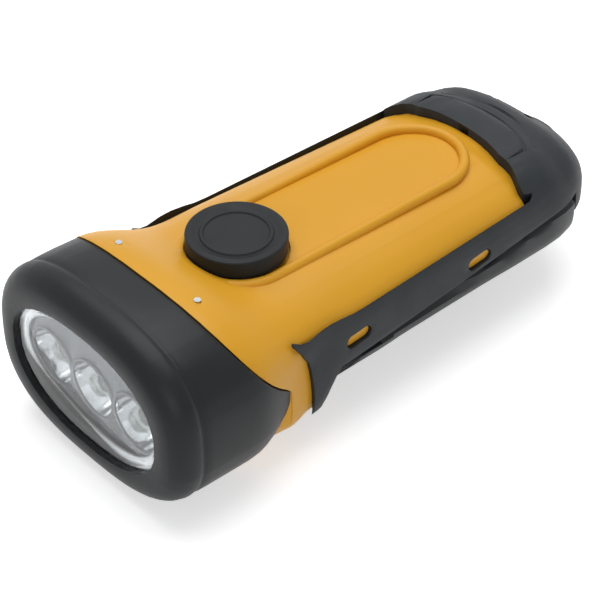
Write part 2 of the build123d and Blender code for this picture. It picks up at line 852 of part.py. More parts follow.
with BuildPart() as battery_cradle:
    with Locations((0, cell_y, base_floor + seat_gap)):
        Box(2 * (stack_half_length + contact_thickness + cradle_wall + seat_gap),
            2 * (cell_radius + cradle_wall), cradle_height, align=(Align.CENTER, Align.CENTER, Align.MIN))
    with BuildSketch(Plane.YZ.offset(-stack_half_length - contact_thickness - seat_gap)):
        with Locations((cell_y, cell_height)):
            Circle(cell_radius + seat_gap)
    extrude(amount=2 * (stack_half_length + contact_thickness + seat_gap), mode=Mode.SUBTRACT)
battery_cradle.part.label = "battery_cradle"
export_step(battery_cradle.part, "parts/battery_cradle.step")

with BuildPart() as battery_contacts:
    for near in (-stack_half_length - contact_thickness, stack_half_length):
        with BuildSketch(Plane.YZ.offset(near)):
            with Locations((cell_y, cell_height)):
                Circle(cell_radius - 1.5)
        extrude(amount=contact_thickness - seat_gap)
battery_contacts.part.label = "battery_contacts"
export_step(battery_contacts.part, "parts/battery_contacts.step")


# ---- gear train --------------------------------------------------------------------------
def involute(angle):
    return math.tan(angle) - angle


def gear_points(teeth, centre, turn):
    """The outline of a spur gear whose first tooth points at the angle turn."""
    pitch_radius = gear_module * teeth / 2
    base_radius = pitch_radius * math.cos(pressure_angle)
    radii = (pitch_radius - gear_dedendum, base_radius, pitch_radius, pitch_radius + gear_addendum)
    if radii[1] < radii[0]:
        radii = (radii[0], (radii[0] + radii[2]) / 2, radii[2], radii[3])
    half_tooth = math.pi / (2 * teeth) - gear_backlash / 2 / pitch_radius + involute(pressure_angle)
    flank = []
    for radius in radii:
        pressure = math.acos(min(1.0, base_radius / radius))
        flank.append((radius, half_tooth - involute(pressure)))
    points = []
    for index in range(teeth):
        middle = turn + 2 * math.pi * index / teeth
        for radius, half in flank:
            points.append((centre[0] + radius * math.cos(middle - half),
                           centre[1] + radius * math.sin(middle - half)))
        for radius, half in reversed(flank):
            points.append((centre[0] + radius * math.cos(middle + half),
                           centre[1] + radius * math.sin(middle + half)))
    return points


def gear_disc(teeth, centre, turn, bottom, thickness):
    """A spur gear blank with its teeth, inside the part being built."""
    with BuildSketch(floor_plane(bottom)) as disc:
        with BuildLine():
            Polyline(*gear_points(teeth, centre, turn), close=True)
        make_face()
    extrude(disc.sketch, amount=thickness)


mesh_angle = math.atan2(idler_point[1] - crank_point[1], idler_point[0] - crank_point[0])
flange_bottom = base_floor + bush_collar + seat_gap
drive_bottom = flange_bottom + flange_thickness + seat_gap
drive_top = drive_bottom + gear_thickness
pinion_bottom = drive_bottom - 0.3
wheel_bottom = drive_top + 2 * gear_gap
plate_top = plate_height + plate_thickness

with BuildPart() as crank_shaft:
    with BuildSketch(floor_plane(socket_floor + seat_gap)):
        with Locations(crank_point):
            Rectangle(shaft_square, shaft_square)
    extrude(amount=base_underside - socket_floor)
    with BuildSketch(floor_plane(arm_top)):
        with Locations(crank_point):
            Circle(shaft_radius)
    extrude(amount=drive_top - arm_top)
    with BuildSketch(floor_plane(flange_bottom)):
        with Locations(crank_point):
            Circle(shaft_flange_radius)
    extrude(amount=flange_thickness)
    with BuildSketch(floor_plane(drive_top)):
        with Locations(crank_point):
            Circle(shaft_radius - 1)
    extrude(amount=plate_top - drive_top)
    with BuildSketch(floor_plane(0)):
        with Locations(crank_point):
            Circle(hub_screw_radius + screw_clearance)
    extrude(amount=drive_bottom, mode=Mode.SUBTRACT)
crank_shaft.part.label = "crank_shaft"
export_step(crank_shaft.part, "parts/crank_shaft.step")

with BuildPart() as shaft_bush:
    with BuildSketch(floor_plane(base_underside)):
        with Locations(crank_point):
            Circle(bush_radius)
    extrude(amount=base_floor - base_underside + bush_collar)
    with BuildSketch(floor_plane(base_floor + seat_gap)):
        with Locations(crank_point):
            Circle(bush_radius + 1.2)
    extrude(amount=bush_collar - seat_gap)
    with BuildSketch(floor_plane(base_underside)):
        with Locations(crank_point):
            Circle(shaft_radius + running_gap)
    extrude(amount=10, mode=Mode.SUBTRACT)
shaft_bush.part.label = "shaft_bush"
export_step(shaft_bush.part, "parts/shaft_bush.step")

with BuildPart() as drive_gear:
    gear_disc(drive_teeth, crank_point, mesh_angle, drive_bottom, gear_thickness)
    with BuildSketch(floor_plane(drive_bottom)):
        with Locations(crank_point):
            Circle(shaft_radius + seat_gap)
            with PolarLocations(gear_window_place, 5):
                Circle(gear_window_radius)
    extrude(amount=gear_thickness, mode=Mode.SUBTRACT)
drive_gear.part.label = "drive_gear"
export_step(drive_gear.part, "parts/drive_gear.step")

with BuildPart() as idler_gear:
    gear_disc(idler_pinion_teeth, idler_point, mesh_angle + math.pi + math.pi / idler_pinion_teeth,
              pinion_bottom, wheel_bottom - pinion_bottom)
    gear_disc(idler_wheel_teeth, idler_point, math.pi, wheel_bottom, gear_thickness)
    with BuildSketch(floor_plane(base_floor + boss_height + running_gap)):
        with Locations(idler_point):
            Circle(gear_hub_radius)
    extrude(amount=plate_height - base_floor - boss_height - 2 * running_gap)
    with BuildSketch(floor_plane(base_floor)):
        with Locations(idler_point):
            Circle(axle_radius + running_gap)
    extrude(amount=plate_height, mode=Mode.SUBTRACT)
idler_gear.part.label = "idler_gear"
export_step(idler_gear.part, "parts/idler_gear.step")

with BuildPart() as idler_axle:
    with BuildSketch(floor_plane(base_floor - 1)):
        with Locations(idler_point):
            Circle(axle_radius)
    extrude(amount=plate_top - base_floor + 1)
idler_axle.part.label = "idler_axle"
export_step(idler_axle.part, "parts/idler_axle.step")

with BuildPart() as rotor_pinion:
    gear_disc(rotor_pinion_teeth, rotor_point, math.pi / rotor_pinion_teeth,
              wheel_bottom - 0.3, gear_thickness + 0.6)
    with BuildSketch(floor_plane(base_floor)):
        with Locations(rotor_point):
            Circle(axle_radius + seat_gap)
    extrude(amount=plate_height, mode=Mode.SUBTRACT)
rotor_pinion.part.label = "rotor_pinion"
export_step(rotor_pinion.part, "parts/rotor_pinion.step")

with BuildPart() as gear_plate:
    with BuildSketch(floor_plane(plate_height)):
        with Locations((0, along((plate_front + plate_rear) / 2))):
            RectangleRounded(2 * plate_half_width, plate_rear - plate_front, plate_corner)
        with Locations(*plate_screw_points):
            Circle(screw_radius + screw_clearance, mode=Mode.SUBTRACT)
        with Locations(crank_point):
            Circle(shaft_radius - 1 + running_gap, mode=Mode.SUBTRACT)
        with Locations(idler_point, rotor_point):
            Circle(axle_radius + running_gap, mode=Mode.SUBTRACT)
    extrude(amount=plate_thickness)
gear_plate.part.label = "gear_plate"
export_step(gear_plate.part, "parts/gear_plate.step")

with BuildPart() as plate_screw_set:
    pan_screw(plate_screw_points, plate_top + seat_gap, plate_screw_length - 0.5, -1)
plate_screw_set.part.label = "plate_screws"
export_step(plate_screw_set.part, "parts/plate_screws.step")

# ---- generator ---------------------------------------------------------------------------
stator_bottom = plate_top + seat_gap
stator_top = stator_bottom + stator_height
pole_radius = magnet_radius + air_gap
pole_wall = 0.7
magnet_bottom = stator_bottom + stator_wall + 0.4

with BuildPart() as generator_stator:
    with BuildSketch(floor_plane(stator_bottom)):
        with Locations(rotor_point):
            Circle(stator_radius)
    extrude(amount=stator_height)
    with BuildSketch(floor_plane(stator_bottom + stator_wall)):
        with Locations(rotor_point):
            Circle(stator_radius - stator_wall)
            Circle(pole_radius + pole_wall, mode=Mode.SUBTRACT)
    extrude(amount=stator_height, mode=Mode.SUBTRACT)
    with BuildSketch(floor_plane(stator_bottom + stator_wall)):
        with Locations(rotor_point):
            Circle(pole_radius)
    extrude(amount=stator_height, mode=Mode.SUBTRACT)
    with BuildSketch(floor_plane(stator_bottom)):
        with Locations(rotor_point):
            Circle(axle_radius + 0.5)
    extrude(amount=stator_height, mode=Mode.SUBTRACT)
generator_stator.part.label = "generator_stator"
export_step(generator_stator.part, "parts/generator_stator.step")

with BuildPart() as generator_coil:
    with BuildSketch(floor_plane(stator_bottom + stator_wall + seat_gap)):
        with Locations(rotor_point):
            Circle(stator_radius - stator_wall - seat_gap)
            Circle(pole_radius + pole_wall + seat_gap, mode=Mode.SUBTRACT)
    extrude(amount=stator_height - stator_wall - 1)
generator_coil.part.label = "generator_coil"
export_step(generator_coil.part, "parts/generator_coil.step")

with BuildPart() as generator_magnet:
    with BuildSketch(floor_plane(magnet_bottom)):
        with Locations(rotor_point):
            Circle(magnet_radius)
            Circle(axle_radius + seat_gap, mode=Mode.SUBTRACT)
    extrude(amount=magnet_height)
generator_magnet.part.label = "generator_magnet"
export_step(generator_magnet.part, "parts/generator_magnet.step")

with BuildPart() as rotor_shaft:
    with BuildSketch(floor_plane(base_floor - 1)):
        with Locations(rotor_point):
            Circle(axle_radius)
    extrude(amount=stator_top + bridge_thickness + seat_gap - base_floor + 1)
rotor_shaft.part.label = "rotor_shaft"
export_step(rotor_shaft.part, "parts/rotor_shaft.step")

with BuildPart() as rotor_bridge:
    with BuildSketch(floor_plane(stator_top + seat_gap)):
        with Locations(rotor_point):
            SlotOverall(2 * stator_radius, bridge_width, rotation=90)
            Circle(axle_radius + running_gap, mode=Mode.SUBTRACT)
    extrude(amount=bridge_thickness)
rotor_bridge.part.label = "rotor_bridge"
export_step(rotor_bridge.part, "parts/rotor_bridge.step")

# ---- crank and folding knob --------------------------------------------------------------
tip_point = (0, along(crank_distance + crank_reach - crank_tip_radius))
pin_y = along(crank_distance + knob_pin_offset)
pin_height = arm_top / 2
slot_half_width = knuckle_length / 2 + knuckle_side_gap
slot_front = pin_y - math.hypot(grip_end + stalk_head_thickness, stalk_head_radius) - grip_slot_clearance
slot_rear = pin_y + grip_radius + grip_slot_clearance

with BuildPart() as crank_arm:
    with BuildSketch(floor_plane(0)):
        with Locations(crank_point):
            Circle(crank_hub_radius)
        with Locations(tip_point):
            Circle(crank_tip_radius)
        make_hull()
    extrude(amount=arm_top)
    fillet(crank_arm.faces().sort_by(Axis.Z)[0].edges(), arm_edge)
    with BuildSketch(floor_plane(0)):
        with Locations((0, (slot_front + slot_rear) / 2)):
            RectangleRounded(2 * slot_half_width, slot_rear - slot_front, 1.5)
    extrude(amount=arm_top, mode=Mode.SUBTRACT)
    with BuildSketch(floor_plane(socket_floor)):
        with Locations(crank_point):
            Rectangle(shaft_square + 2 * seat_gap, shaft_square + 2 * seat_gap)
    extrude(amount=arm_top, mode=Mode.SUBTRACT)
    with BuildSketch(floor_plane(0)):
        with Locations(crank_point):
            Circle(hub_screw_radius + screw_clearance)
    extrude(amount=arm_top, mode=Mode.SUBTRACT)
    with BuildSketch(floor_plane(0)):
        with Locations(crank_point):
            Circle(hub_screw_head_radius + screw_clearance)
    extrude(amount=hub_screw_head_height + 0.4, mode=Mode.SUBTRACT)
    with BuildSketch(Plane.YZ.offset(-knob_pin_length / 2)):
        with Locations((pin_y, pin_height)):
            Circle(knob_pin_radius + seat_gap)
    extrude(amount=knob_pin_length, mode=Mode.SUBTRACT)
crank_arm.part.label = "crank_arm"
export_step(crank_arm.part, "parts/crank_arm.step")

with BuildPart() as hub_screw:
    with BuildSketch(floor_plane(0.4)):
        with Locations(crank_point):
            Circle(hub_screw_head_radius)
    extrude(amount=hub_screw_head_height - seat_gap)
    with BuildSketch(floor_plane(0.4)):
        with Locations(crank_point):
            Circle(hub_screw_radius)
    extrude(amount=drive_bottom - 1.4)
    with BuildSketch(floor_plane(0.4)):
        with Locations(crank_point):
            Rectangle(3.2, 0.7)
            Rectangle(0.7, 3.2)
    extrude(amount=0.9, mode=Mode.SUBTRACT)
hub_screw.part.label = "hub_screw"
export_step(hub_screw.part, "parts/hub_screw.step")

with BuildPart() as knob_hinge_pin:
    with BuildSketch(Plane.YZ.offset(-knob_pin_length / 2)):
        with Locations((pin_y, pin_height)):
            Circle(knob_pin_radius)
    extrude(amount=knob_pin_length)
knob_hinge_pin.part.label = "knob_hinge_pin"
export_step(knob_hinge_pin.part, "parts/knob_hinge_pin.step")

with BuildPart() as knob_stalk:
    with BuildSketch(Plane.YZ.offset(-knuckle_length / 2)):
        with Locations((pin_y, pin_height)):
            Circle(knuckle_radius)
    extrude(amount=knuckle_length)
    with BuildSketch(Plane.XZ.offset(-pin_y)):
        with Locations((0, pin_height)):
            Circle(stalk_radius)
    extrude(amount=grip_end + stalk_head_thickness)
    with BuildSketch(Plane.XZ.offset(-pin_y + grip_end + running_gap)):
        with Locations((0, pin_height)):
            Circle(stalk_head_radius)
    extrude(amount=stalk_head_thickness - running_gap)
    with BuildSketch(Plane.YZ.offset(-knuckle_length / 2)):
        with Locations((pin_y, pin_height)):
            Circle(knob_pin_radius + running_gap)
    extrude(amount=knuckle_length, mode=Mode.SUBTRACT)
knob_stalk.part.label = "knob_stalk"
export_step(knob_stalk.part, "parts/knob_stalk.step")

with BuildPart() as knob_grip:
    with BuildSketch(Plane.XZ.offset(-pin_y + grip_start)):
        with Locations((0, pin_height)):
            Circle(grip_radius)
    extrude(amount=grip_end - grip_start)
    fillet(knob_grip.edges().filter_by(GeomType.CIRCLE), grip_edge)
    with BuildSketch(Plane.XZ.offset(-pin_y + grip_start)):
        with Locations((0, pin_height)):
            Circle(stalk_radius + running_gap)
    extrude(amount=grip_end - grip_start, mode=Mode.SUBTRACT)
knob_grip.part.label = "knob_grip"
export_step(knob_grip.part, "parts/knob_grip.step")
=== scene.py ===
import math
import bpy
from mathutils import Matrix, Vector


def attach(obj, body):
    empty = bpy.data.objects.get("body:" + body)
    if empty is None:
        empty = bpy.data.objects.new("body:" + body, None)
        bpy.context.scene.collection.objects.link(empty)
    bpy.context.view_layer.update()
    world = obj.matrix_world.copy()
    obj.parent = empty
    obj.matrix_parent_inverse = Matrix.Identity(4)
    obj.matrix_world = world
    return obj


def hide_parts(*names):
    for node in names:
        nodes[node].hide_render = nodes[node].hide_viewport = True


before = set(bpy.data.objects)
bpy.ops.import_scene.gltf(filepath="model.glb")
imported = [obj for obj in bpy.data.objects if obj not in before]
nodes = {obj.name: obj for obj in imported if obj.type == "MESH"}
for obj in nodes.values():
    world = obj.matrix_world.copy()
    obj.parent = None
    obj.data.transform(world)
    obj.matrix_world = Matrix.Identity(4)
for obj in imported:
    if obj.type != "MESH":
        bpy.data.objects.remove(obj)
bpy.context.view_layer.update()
bpy.ops.object.select_all(action="DESELECT")
print("frame loaded:", len(nodes), "nodes")

mm = 0.001
halfLength = 63.25  # the lip of the head is this far in front of the origin
axisHeight = 20.0
facingLimit = 0.9  # a face looks along an axis when that part of its normal is larger


def along(distance):
    return distance - halfLength


# fitted to the photo, place in millimetres
cameraSettings = {
    "place": (264.44, -242.07, 295.83),
    "azimuth": 48.43,
    "elevation": 38.71,
    "lens": 132.0,
    "sensor": 36.0,
    "nearest": 0.01,
}

bpy.ops.object.camera_add(
    location=[value * mm for value in cameraSettings["place"]],
    rotation=(math.radians(90 - cameraSettings["elevation"]), 0, math.radians(cameraSettings["azimuth"])),
)
photoCamera = bpy.context.active_object
photoCamera.name = "photoCamera"
photoCamera.data.lens = cameraSettings["lens"]
photoCamera.data.sensor_width = cameraSettings["sensor"]
photoCamera.data.clip_start = cameraSettings["nearest"]
bpy.context.scene.camera = photoCamera
print("camera placed")


def linearColour(hexText):
    channels = [int(hexText[i:i + 2], 16) / 255 for i in (1, 3, 5)]
    linear = [c / 12.92 if c <= 0.04045 else ((c + 0.055) / 1.055) ** 2.4 for c in channels]
    return (*linear, 1.0)


def addNode(tree, kind, settings=None, links=None):
    node = tree.nodes.new(kind)
    for name, value in (settings or {}).items():
        if name in node.inputs:
            node.inputs[name].default_value = value
        else:
            setattr(node, name, value)
    for name, source in (links or {}).items():
        tree.links.new(source, node.inputs[name])
    return node


def newMaterial(name):
    material = bpy.data.materials.new(name)
    material.use_nodes = True
    tree = material.node_tree
    tree.nodes.clear()
    surface = addNode(tree, "ShaderNodeBsdfPrincipled")
    addNode(tree, "ShaderNodeOutputMaterial", links={"Surface": surface.outputs["BSDF"]})
    place = addNode(tree, "ShaderNodeTexCoord").outputs["Object"]
    return material, tree, surface, place


def setSurface(surface, **values):
    for name, value in values.items():
        surface.inputs[name.replace("_", " ")].default_value = value


def addNoise(tree, sizeMm, detail, vector):
    settings = {"Scale": 1 / (sizeMm * mm), "Detail": detail}
    return addNode(tree, "ShaderNodeTexNoise", settings, {"Vector": vector}).outputs["Fac"]


def addMapRange(tree, source, low, high, fromLow=0.0, fromHigh=1.0):
    settings = {"From Min": fromLow, "From Max": fromHigh, "To Min": low, "To Max": high}
    return addNode(tree, "ShaderNodeMapRange", settings, {"Value": source}).outputs["Result"]


def mixColours(tree, surface, factor, look):
    # inputs 6 and 7 and output 2 are the colour sockets of this node
    colour = addNode(tree, "ShaderNodeMix", {"data_type": "RGBA"}, {"Factor": factor})
    colour.inputs[6].default_value = linearColour(look["dark"])
    colour.inputs[7].default_value = linearColour(look["light"])
    tree.links.new(colour.outputs[2], surface.inputs["Base Color"])


def addBump(tree, surface, height, strength, distance):
    bump = addNode(tree, "ShaderNodeBump", {"Strength": strength, "Distance": distance}, {"Height": height})
    tree.links.new(bump.outputs["Normal"], surface.inputs["Normal"])


# what all finishes share: how fine each noise is, and how deep its relief is for its size
finishSettings = {
    "flowDetail": 3.0,
    "patchDetail": 4.0,
    "patchRange": (0.3, 0.7),
    "grainDetail": 2.0,
    "grainDepth": 0.25,
    "markDetail": 4.0,
    "markDepth": 0.4,
    "metalPatchy": 0.2,
    "metalDimple": 0.05,
}


def mouldedFinish(name, look, **surfaceValues):
    # cloudy flow marks in the colour, patchy gloss, and the fine grain of the eroded mould
    material, tree, surface, place = newMaterial(name)
    shared = finishSettings
    mixColours(tree, surface, addNoise(tree, look["flowMm"], shared["flowDetail"], place), look)
    handling = addNoise(tree, look["patchMm"], shared["patchDetail"], place)
    low = look["roughness"] - look["patchy"]
    high = look["roughness"] + look["patchy"]
    gloss = addMapRange(tree, handling, low, high, *shared["patchRange"])
    tree.links.new(gloss, surface.inputs["Roughness"])
    grain = addNoise(tree, look["grainMm"], shared["grainDetail"], place)
    addBump(tree, surface, grain, look["grain"], look["grainMm"] * mm * shared["grainDepth"])
    setSurface(surface, **surfaceValues)
    return material


def clearFinish(name, look):
    # colourless and see-through, with a faint ripple left by the mould
    material, tree, surface, place = newMaterial(name)
    setSurface(surface, Base_Color=linearColour(look["colour"]), Roughness=look["roughness"], IOR=look["ior"],
               Specular_IOR_Level=look["specular"], Transmission_Weight=look["clear"])
    ripple = addNoise(tree, look["rippleMm"], look["rippleDetail"], place)
    addBump(tree, surface, ripple, look["ripple"], look["rippleDepthMm"] * mm)
    return material


def metalFinish(name, look):
    # marks stretched the way the metal was worked, in its colour, its gloss and its relief
    material, tree, surface, place = newMaterial(name)
    shared = finishSettings
    lines = addNode(tree, "ShaderNodeMapping", {"Scale": look["stretch"]}, {"Vector": place})
    marks = addNoise(tree, look["markMm"], shared["markDetail"], lines.outputs["Vector"])
    mixColours(tree, surface, marks, look)
    low = look["roughness"] * (1 - shared["metalPatchy"])
    high = look["roughness"] * (1 + shared["metalPatchy"])
    tree.links.new(addMapRange(tree, marks, low, high), surface.inputs["Roughness"])
    dimple = look.get("dimple", shared["metalDimple"])
    addBump(tree, surface, marks, dimple, look["markMm"] * mm * shared["markDepth"])
    setSurface(surface, Metallic=1.0)
    return material


# polished-mould ABS: bright, even yellow with a soft broad sheen
yellowLook = {"dark": "#DE9F22", "light": "#E6A92C", "flowMm": 26, "patchMm": 14,
              "roughness": 0.42, "patchy": 0.04, "grainMm": 0.5, "grain": 0.1}
yellowAbs = mouldedFinish("yellowAbsMoulded", yellowLook, Specular_IOR_Level=0.3)

# satin black ABS of the head: grey sheen where the light grazes it
blackLook = {"dark": "#17191B", "light": "#1D2022", "flowMm": 30, "patchMm": 12,
             "roughness": 0.4, "patchy": 0.05, "grainMm": 0.45, "grain": 0.15}
blackAbs = mouldedFinish("blackAbsSatin", blackLook, Specular_IOR_Level=0.22)

# thermoplastic rubber of the bumper: greyer and duller than the shell
rubberLook = {"dark": "#25292C", "light": "#2D3134", "flowMm": 20, "patchMm": 9,
              "roughness": 0.55, "patchy": 0.06, "grainMm": 0.4, "grain": 0.25}
bumperRubber = mouldedFinish("thermoplasticRubberMatte", rubberLook, Specular_IOR_Level=0.25)

# silicone of the button: darker than the bumper, with a soft bloom
buttonLook = {"dark": "#181B1D", "light": "#1F2325", "flowMm": 12, "patchMm": 5,
              "roughness": 0.5, "patchy": 0.06, "grainMm": 0.35, "grain": 0.2}
buttonSilicone = mouldedFinish("siliconeRubberButton", buttonLook, Specular_IOR_Level=0.2)

# natural acetal of the gears: milky and slippery
acetalLook = {"dark": "#D9D8CF", "light": "#E6E5DE", "flowMm": 9, "patchMm": 4,
              "roughness": 0.38, "patchy": 0.04, "grainMm": 0.3, "grain": 0.05}
naturalAcetal = mouldedFinish("acetalNatural", acetalLook, IOR=1.48, Subsurface_Weight=0.1,
                              Subsurface_Scale=0.001)

# solder-masked glass-fibre board: green lacquer over a faint weave of copper
boardLook = {"dark": "#155B33", "light": "#1E7041", "flowMm": 3, "patchMm": 2,
             "roughness": 0.3, "patchy": 0.05, "grainMm": 0.4, "grain": 0.1}
solderMask = mouldedFinish("glassFibreBoardMasked", boardLook, IOR=1.5)

# clear polycarbonate: colourless, with a polished skin
windowLook = {"colour": "#F4F7F8", "roughness": 0.02, "ior": 1.45, "specular": 0.25, "clear": 1.0,
              "rippleMm": 9, "rippleDetail": 1.0, "ripple": 0.05, "rippleDepthMm": 0.3}
clearWindow = clearFinish("polycarbonateClear", windowLook)

# cast epoxy of the lamps: water-clear, with a slight haze
epoxyLook = {"colour": "#F2F4EF", "roughness": 0.05, "ior": 1.5, "specular": 0.5, "clear": 0.85,
             "rippleMm": 1.5, "rippleDetail": 2.0, "ripple": 0.05, "rippleDepthMm": 0.1}
clearEpoxy = clearFinish("epoxyClearCast", epoxyLook)

# vacuum-metallised plastic: a mirror with a slight orange peel
mirrorLook = {"dark": "#D9DBDD", "light": "#EEF0F1", "markMm": 3, "stretch": (1, 1, 1), "roughness": 0.09}
bareMirror = metalFinish("aluminiumMetallised", mirrorLook)

# the reflector's flat face, dimpled so that it sparkles grey
dimpledLook = {"dark": "#4A4D50", "light": "#8E9295", "markMm": 0.7, "stretch": (1, 1, 1),
               "roughness": 0.22, "dimple": 0.6}
dimpledMirror = metalFinish("aluminiumDimpled", dimpledLook)

# the rim's satin metal: it gathers light into an even bright band
satinLook = {"dark": "#F2F3F4", "light": "#FFFFFF", "markMm": 2, "stretch": (1, 1, 1), "roughness": 0.42}
satinMirror = metalFinish("aluminiumSatin", satinLook)

# nickel skin of the cells and contacts: warm grey, drawn lengthwise
nickelLook = {"dark": "#A9A6A0", "light": "#C9C6BF", "markMm": 0.6, "stretch": (0.1, 1, 1), "roughness": 0.28}
nickelPlate = metalFinish("nickelPlatedSteel", nickelLook)

# zinc-plated screws and pins: bluish, turned
zincLook = {"dark": "#A5AAAF", "light": "#C6CACE", "markMm": 0.4, "stretch": (1, 1, 0.2), "roughness": 0.3}
zincPlate = metalFinish("zincPlatedSteel", zincLook)

# turned brass of the bush and the pinion: yellow, with fine rings
brassLook = {"dark": "#B08D4C", "light": "#D3B36B", "markMm": 0.3, "stretch": (1, 1, 0.1), "roughness": 0.25}
turnedBrass = metalFinish("brassTurned", brassLook)

# enamelled wire of the coil: red-brown, in fine turns
copperLook = {"dark": "#8E4A22", "light": "#C4713A", "markMm": 0.25, "stretch": (0.05, 0.05, 1),
              "roughness": 0.3}
enamelledCopper = metalFinish("copperWireEnamelled", copperLook)

# sintered ferrite of the magnet: dull charcoal
ferriteLook = {"dark": "#3A3A3D", "light": "#4C4C50", "markMm": 0.3, "stretch": (1, 1, 1), "roughness": 0.55}
sinteredFerrite = metalFinish("ferriteSintered", ferriteLook)

nodeMaterials = {
    "head_shell": blackAbs, "base_cover": blackAbs, "main_housing": yellowAbs, "side_bumper": bumperRubber,
    "lens_seal": bumperRubber, "button_seal": bumperRubber, "power_button": buttonSilicone,
    "lens_window": clearWindow, "reflector": bareMirror, "left_lamp": clearEpoxy, "middle_lamp": clearEpoxy,
    "right_lamp": clearEpoxy, "lamp_board": solderMask, "control_board": solderMask, "neck_pins": zincPlate,
    "switch_body": blackAbs, "switch_plunger": blackAbs, "smoothing_capacitor": blackAbs,
    "battery_cradle": blackAbs, "battery_cells": nickelPlate, "battery_contacts": nickelPlate,
    "case_screws": zincPlate, "board_screws": zincPlate, "plate_screws": zincPlate, "hub_screw": zincPlate,
    "crank_shaft": zincPlate, "idler_axle": zincPlate, "rotor_shaft": zincPlate, "knob_hinge_pin": zincPlate,
    "shaft_bush": turnedBrass, "rotor_pinion": turnedBrass, "drive_gear": naturalAcetal,
    "idler_gear": naturalAcetal, "gear_plate": naturalAcetal, "generator_stator": zincPlate,
    "rotor_bridge": naturalAcetal, "generator_coil": enamelledCopper, "generator_magnet": sinteredFerrite,
    "crank_arm": blackAbs, "knob_stalk": zincPlate, "knob_grip": blackAbs,
}
for name, material in nodeMaterials.items():
    slots = nodes[name].material_slots
    if not slots:
        nodes[name].data.materials.append(material)
    for materialSlot in slots:
        materialSlot.material = material
print("materials made")


def pickOnly(piece):
    bpy.ops.object.select_all(action="DESELECT")
    piece.select_set(True)
    bpy.context.view_layer.objects.active = piece


def editing(piece, selectMode="VERT"):
    pickOnly(piece)
    bpy.ops.object.mode_set(mode="EDIT")
    bpy.ops.mesh.select_mode(type=selectMode)


def doneEditing():
    bpy.ops.object.mode_set(mode="OBJECT")


def pickFaces(piece, chosen):
    # goes into edit mode with only the chosen faces picked
    editing(piece, "FACE")
    bpy.ops.mesh.select_all(action="DESELECT")
    doneEditing()
    for face in piece.data.polygons:
        face.select = chosen(face)
    editing(piece, "FACE")


def applyModifiers(piece):
    pickOnly(piece)
    for modifier in list(piece.modifiers):
        bpy.ops.object.modifier_apply(modifier=modifier.name)


# points nearer than this many metres are one, and faces within this many degrees are one face
copySettings = {"mergeDistance": 0.000002, "flatDegrees": 0.6}


def copyOfNode(nodeName, pieceName):
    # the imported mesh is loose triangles: the copy is merged and its flat fans are dissolved
    piece = bpy.data.objects.new(pieceName, nodes[nodeName].data.copy())
    bpy.context.scene.collection.objects.link(piece)
    piece.data.materials.clear()
    pickOnly(piece)
    bpy.ops.mesh.customdata_custom_splitnormals_clear()
    editing(piece)
    bpy.ops.mesh.select_all(action="SELECT")
    bpy.ops.mesh.remove_doubles(threshold=copySettings["mergeDistance"])
    bpy.ops.mesh.dissolve_limited(angle_limit=math.radians(copySettings["flatDegrees"]))
    doneEditing()
    return piece


def softenEdges(piece, widthMm, sharpDegrees=40, segments=2):
    modifier = piece.modifiers.new("softEdges", "BEVEL")
    modifier.width = widthMm * mm
    modifier.segments = segments
    modifier.limit_method = "ANGLE"
    modifier.angle_limit = math.radians(sharpDegrees)
    modifier.use_clamp_overlap = True
    modifier.miter_outer = "MITER_ARC"
    applyModifiers(piece)


def smoothFaces(piece, degrees=32):
    pickOnly(piece)
    bpy.ops.object.shade_smooth_by_angle(angle=math.radians(degrees))


def settle(piece, material, body, slotName, *replaced):
    piece.data.materials.clear()
    piece.data.materials.append(material)
    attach(piece, body)
    if replaced:
        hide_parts(*replaced)


# the torch's own form: distances behind the lip, heights from the axis, in millimetres
formSettings = {
    "headHalf": 29.0, "headRise": 20.0, "headExponent": 2.7,
    "gripHalf": 24.1, "gripRise": 14.4, "gripDrop": 9.7, "gripExponent": 3.0, "baseExponent": 3.4,
    "widthWaist": (20.0, 38.0), "topWaist": (16.0, 34.0), "baseWaist": (21.0, 36.0),
    "taper": 1.8, "taperStart": 46.0, "taperEnd": 110.0,
    "tailStart": 106.0, "tailEnd": 126.5, "tailExponent": 2.3, "tipRise": 4.1, "tipBlend": 1.3,
    "tailCap": 0.99, "sectionSides": 32, "middleShare": 0.2, "mostGrowth": 1.02, "fanCuts": 36,
}


def ease(value, start, end):
    share = min(max((value - start) / (end - start), 0.0), 1.0)
    return share * share * (3 - 2 * share)


def blendValues(first, second, share):
    return first + (second - first) * share


def bodySizes(d):
    form = formSettings
    widthShare = ease(d, *form["widthWaist"])
    topShare = ease(d, *form["topWaist"])
    baseShare = ease(d, *form["baseWaist"])
    taper = form["taper"] * max(0.0, d - form["taperStart"]) / (form["taperEnd"] - form["taperStart"])
    half = blendValues(form["headHalf"], form["gripHalf"], widthShare) - taper
    rise = blendValues(form["headRise"], form["gripRise"], topShare)
    drop = blendValues(form["headRise"], form["gripDrop"], baseShare)
    if d > form["tailStart"]:
        share = min((d - form["tailStart"]) / (form["tailEnd"] - form["tailStart"]), form["tailCap"])
        half *= (1 - share ** form["tailExponent"]) ** (1 / form["tailExponent"])
        rise = blendValues(rise, form["tipRise"], share ** form["tipBlend"])
    upper = blendValues(form["headExponent"], form["gripExponent"], topShare)
    lower = blendValues(form["headExponent"], form["baseExponent"], baseShare)
    return half, rise, drop, upper, lower


def surfaceHeight(x, half, rise, exponent):
    reach = 1 - min(abs(x) / half, 1.0) ** exponent
    return axisHeight + rise * reach ** (1 / exponent)


def sectionCorners(exponent):
    # the corners of one quarter of the frame's flat-sided section
    steps = formSettings["sectionSides"] // 4
    corners = []
    for index in range(steps + 1):
        angle = math.pi / 2 * index / steps
        corners.append((abs(math.cos(angle)) ** (2 / exponent), abs(math.sin(angle)) ** (2 / exponent)))
    return corners


